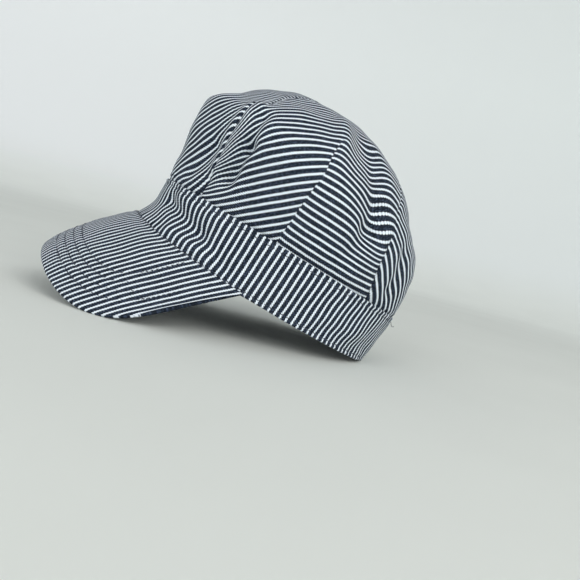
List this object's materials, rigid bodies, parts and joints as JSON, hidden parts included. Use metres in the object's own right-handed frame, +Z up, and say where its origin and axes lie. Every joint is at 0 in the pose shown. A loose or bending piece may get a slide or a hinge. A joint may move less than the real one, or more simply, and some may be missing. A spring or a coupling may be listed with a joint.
{
  "type": "engineer cap",
  "caption": "Soft striped cap with a deep crown of four quarter panels, a wide band around the head and an arched, stitched brim in front.",
  "frame": {"origin": "centre of the cap's box, on the surface that it rests on", "axes": "+Z up, brim toward -Y, +X to the wearer's left"},
  "size_m": [0.1958, 0.2712, 0.1789],
  "materials": {
    "crown_front": "cotton twill, navy with narrow white stripes",
    "crown_left": "cotton twill, navy with narrow white stripes",
    "crown_back": "cotton twill, navy with narrow white stripes",
    "crown_right": "cotton twill, navy with narrow white stripes",
    "band": "cotton twill, navy with narrow white stripes",
    "brim": "cotton twill, navy with narrow white stripes"
  },
  "bodies": {
    "root": {"crown_front": "crown_front", "crown_left": "crown_left", "crown_back": "crown_back", "crown_right": "crown_right", "band": "band", "brim": "brim"}
  },
  "joints": []
}
